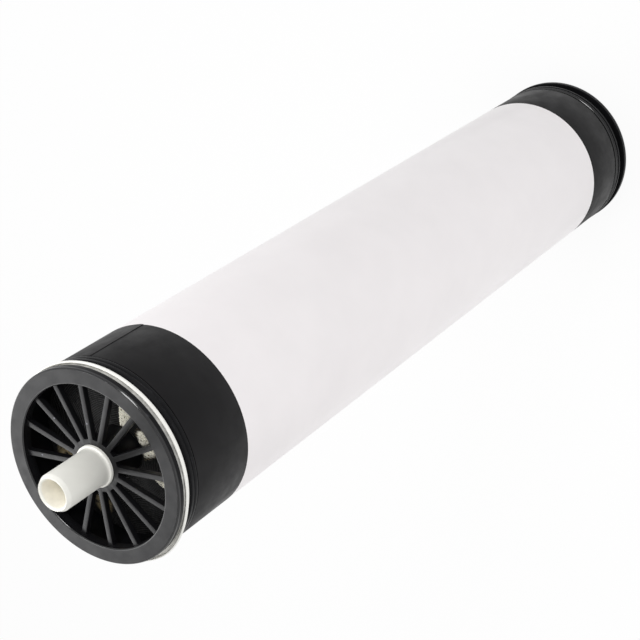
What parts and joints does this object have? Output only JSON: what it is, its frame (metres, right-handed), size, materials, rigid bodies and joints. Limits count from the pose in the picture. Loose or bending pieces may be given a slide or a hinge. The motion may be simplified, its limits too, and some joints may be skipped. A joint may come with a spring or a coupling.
{
  "type": "nanofiltration membrane element",
  "caption": "Spiral-wound nanofiltration membrane element: white film-wrapped shell, black end bands, spoked end caps, a white brine seal and a product tube spigot at the feed end.",
  "frame": {"origin": "centre of the concentrate end cap's outer face, which is the face that the element stands on", "axes": "+Z along the product tube, from the concentrate end to the feed end; -Y faces the picture's camera"},
  "size_m": [0.2044, 0.2044, 1.071],
  "materials": {
    "product_tube": "moulded and turned, satin",
    "permeate_carrier": "resin-stiffened knit",
    "membrane_leaves": "trimmed leaf edges",
    "feed_spacer": "extruded netting",
    "lining_tape": "clear film tape",
    "fibreglass": "wound glass and resin",
    "white_film": "smooth satin film",
    "black_tape": "satin vinyl tape",
    "cap_plastic": "injection moulded, fine grain",
    "seal_rubber": "moulded"
  },
  "bodies": {
    "root": {"product_tube": "product_tube", "core_wrap": "permeate_carrier", "membrane_roll": "membrane_leaves", "feed_spacer_end": "feed_spacer", "lining_tape": "lining_tape", "fibreglass_shell": "fibreglass", "white_film": "white_film", "feed_end_band": "black_tape", "concentrate_end_band": "black_tape", "feed_end_cap": "cap_plastic", "concentrate_end_cap": "cap_plastic", "brine_seal": "seal_rubber"}
  },
  "joints": []
}
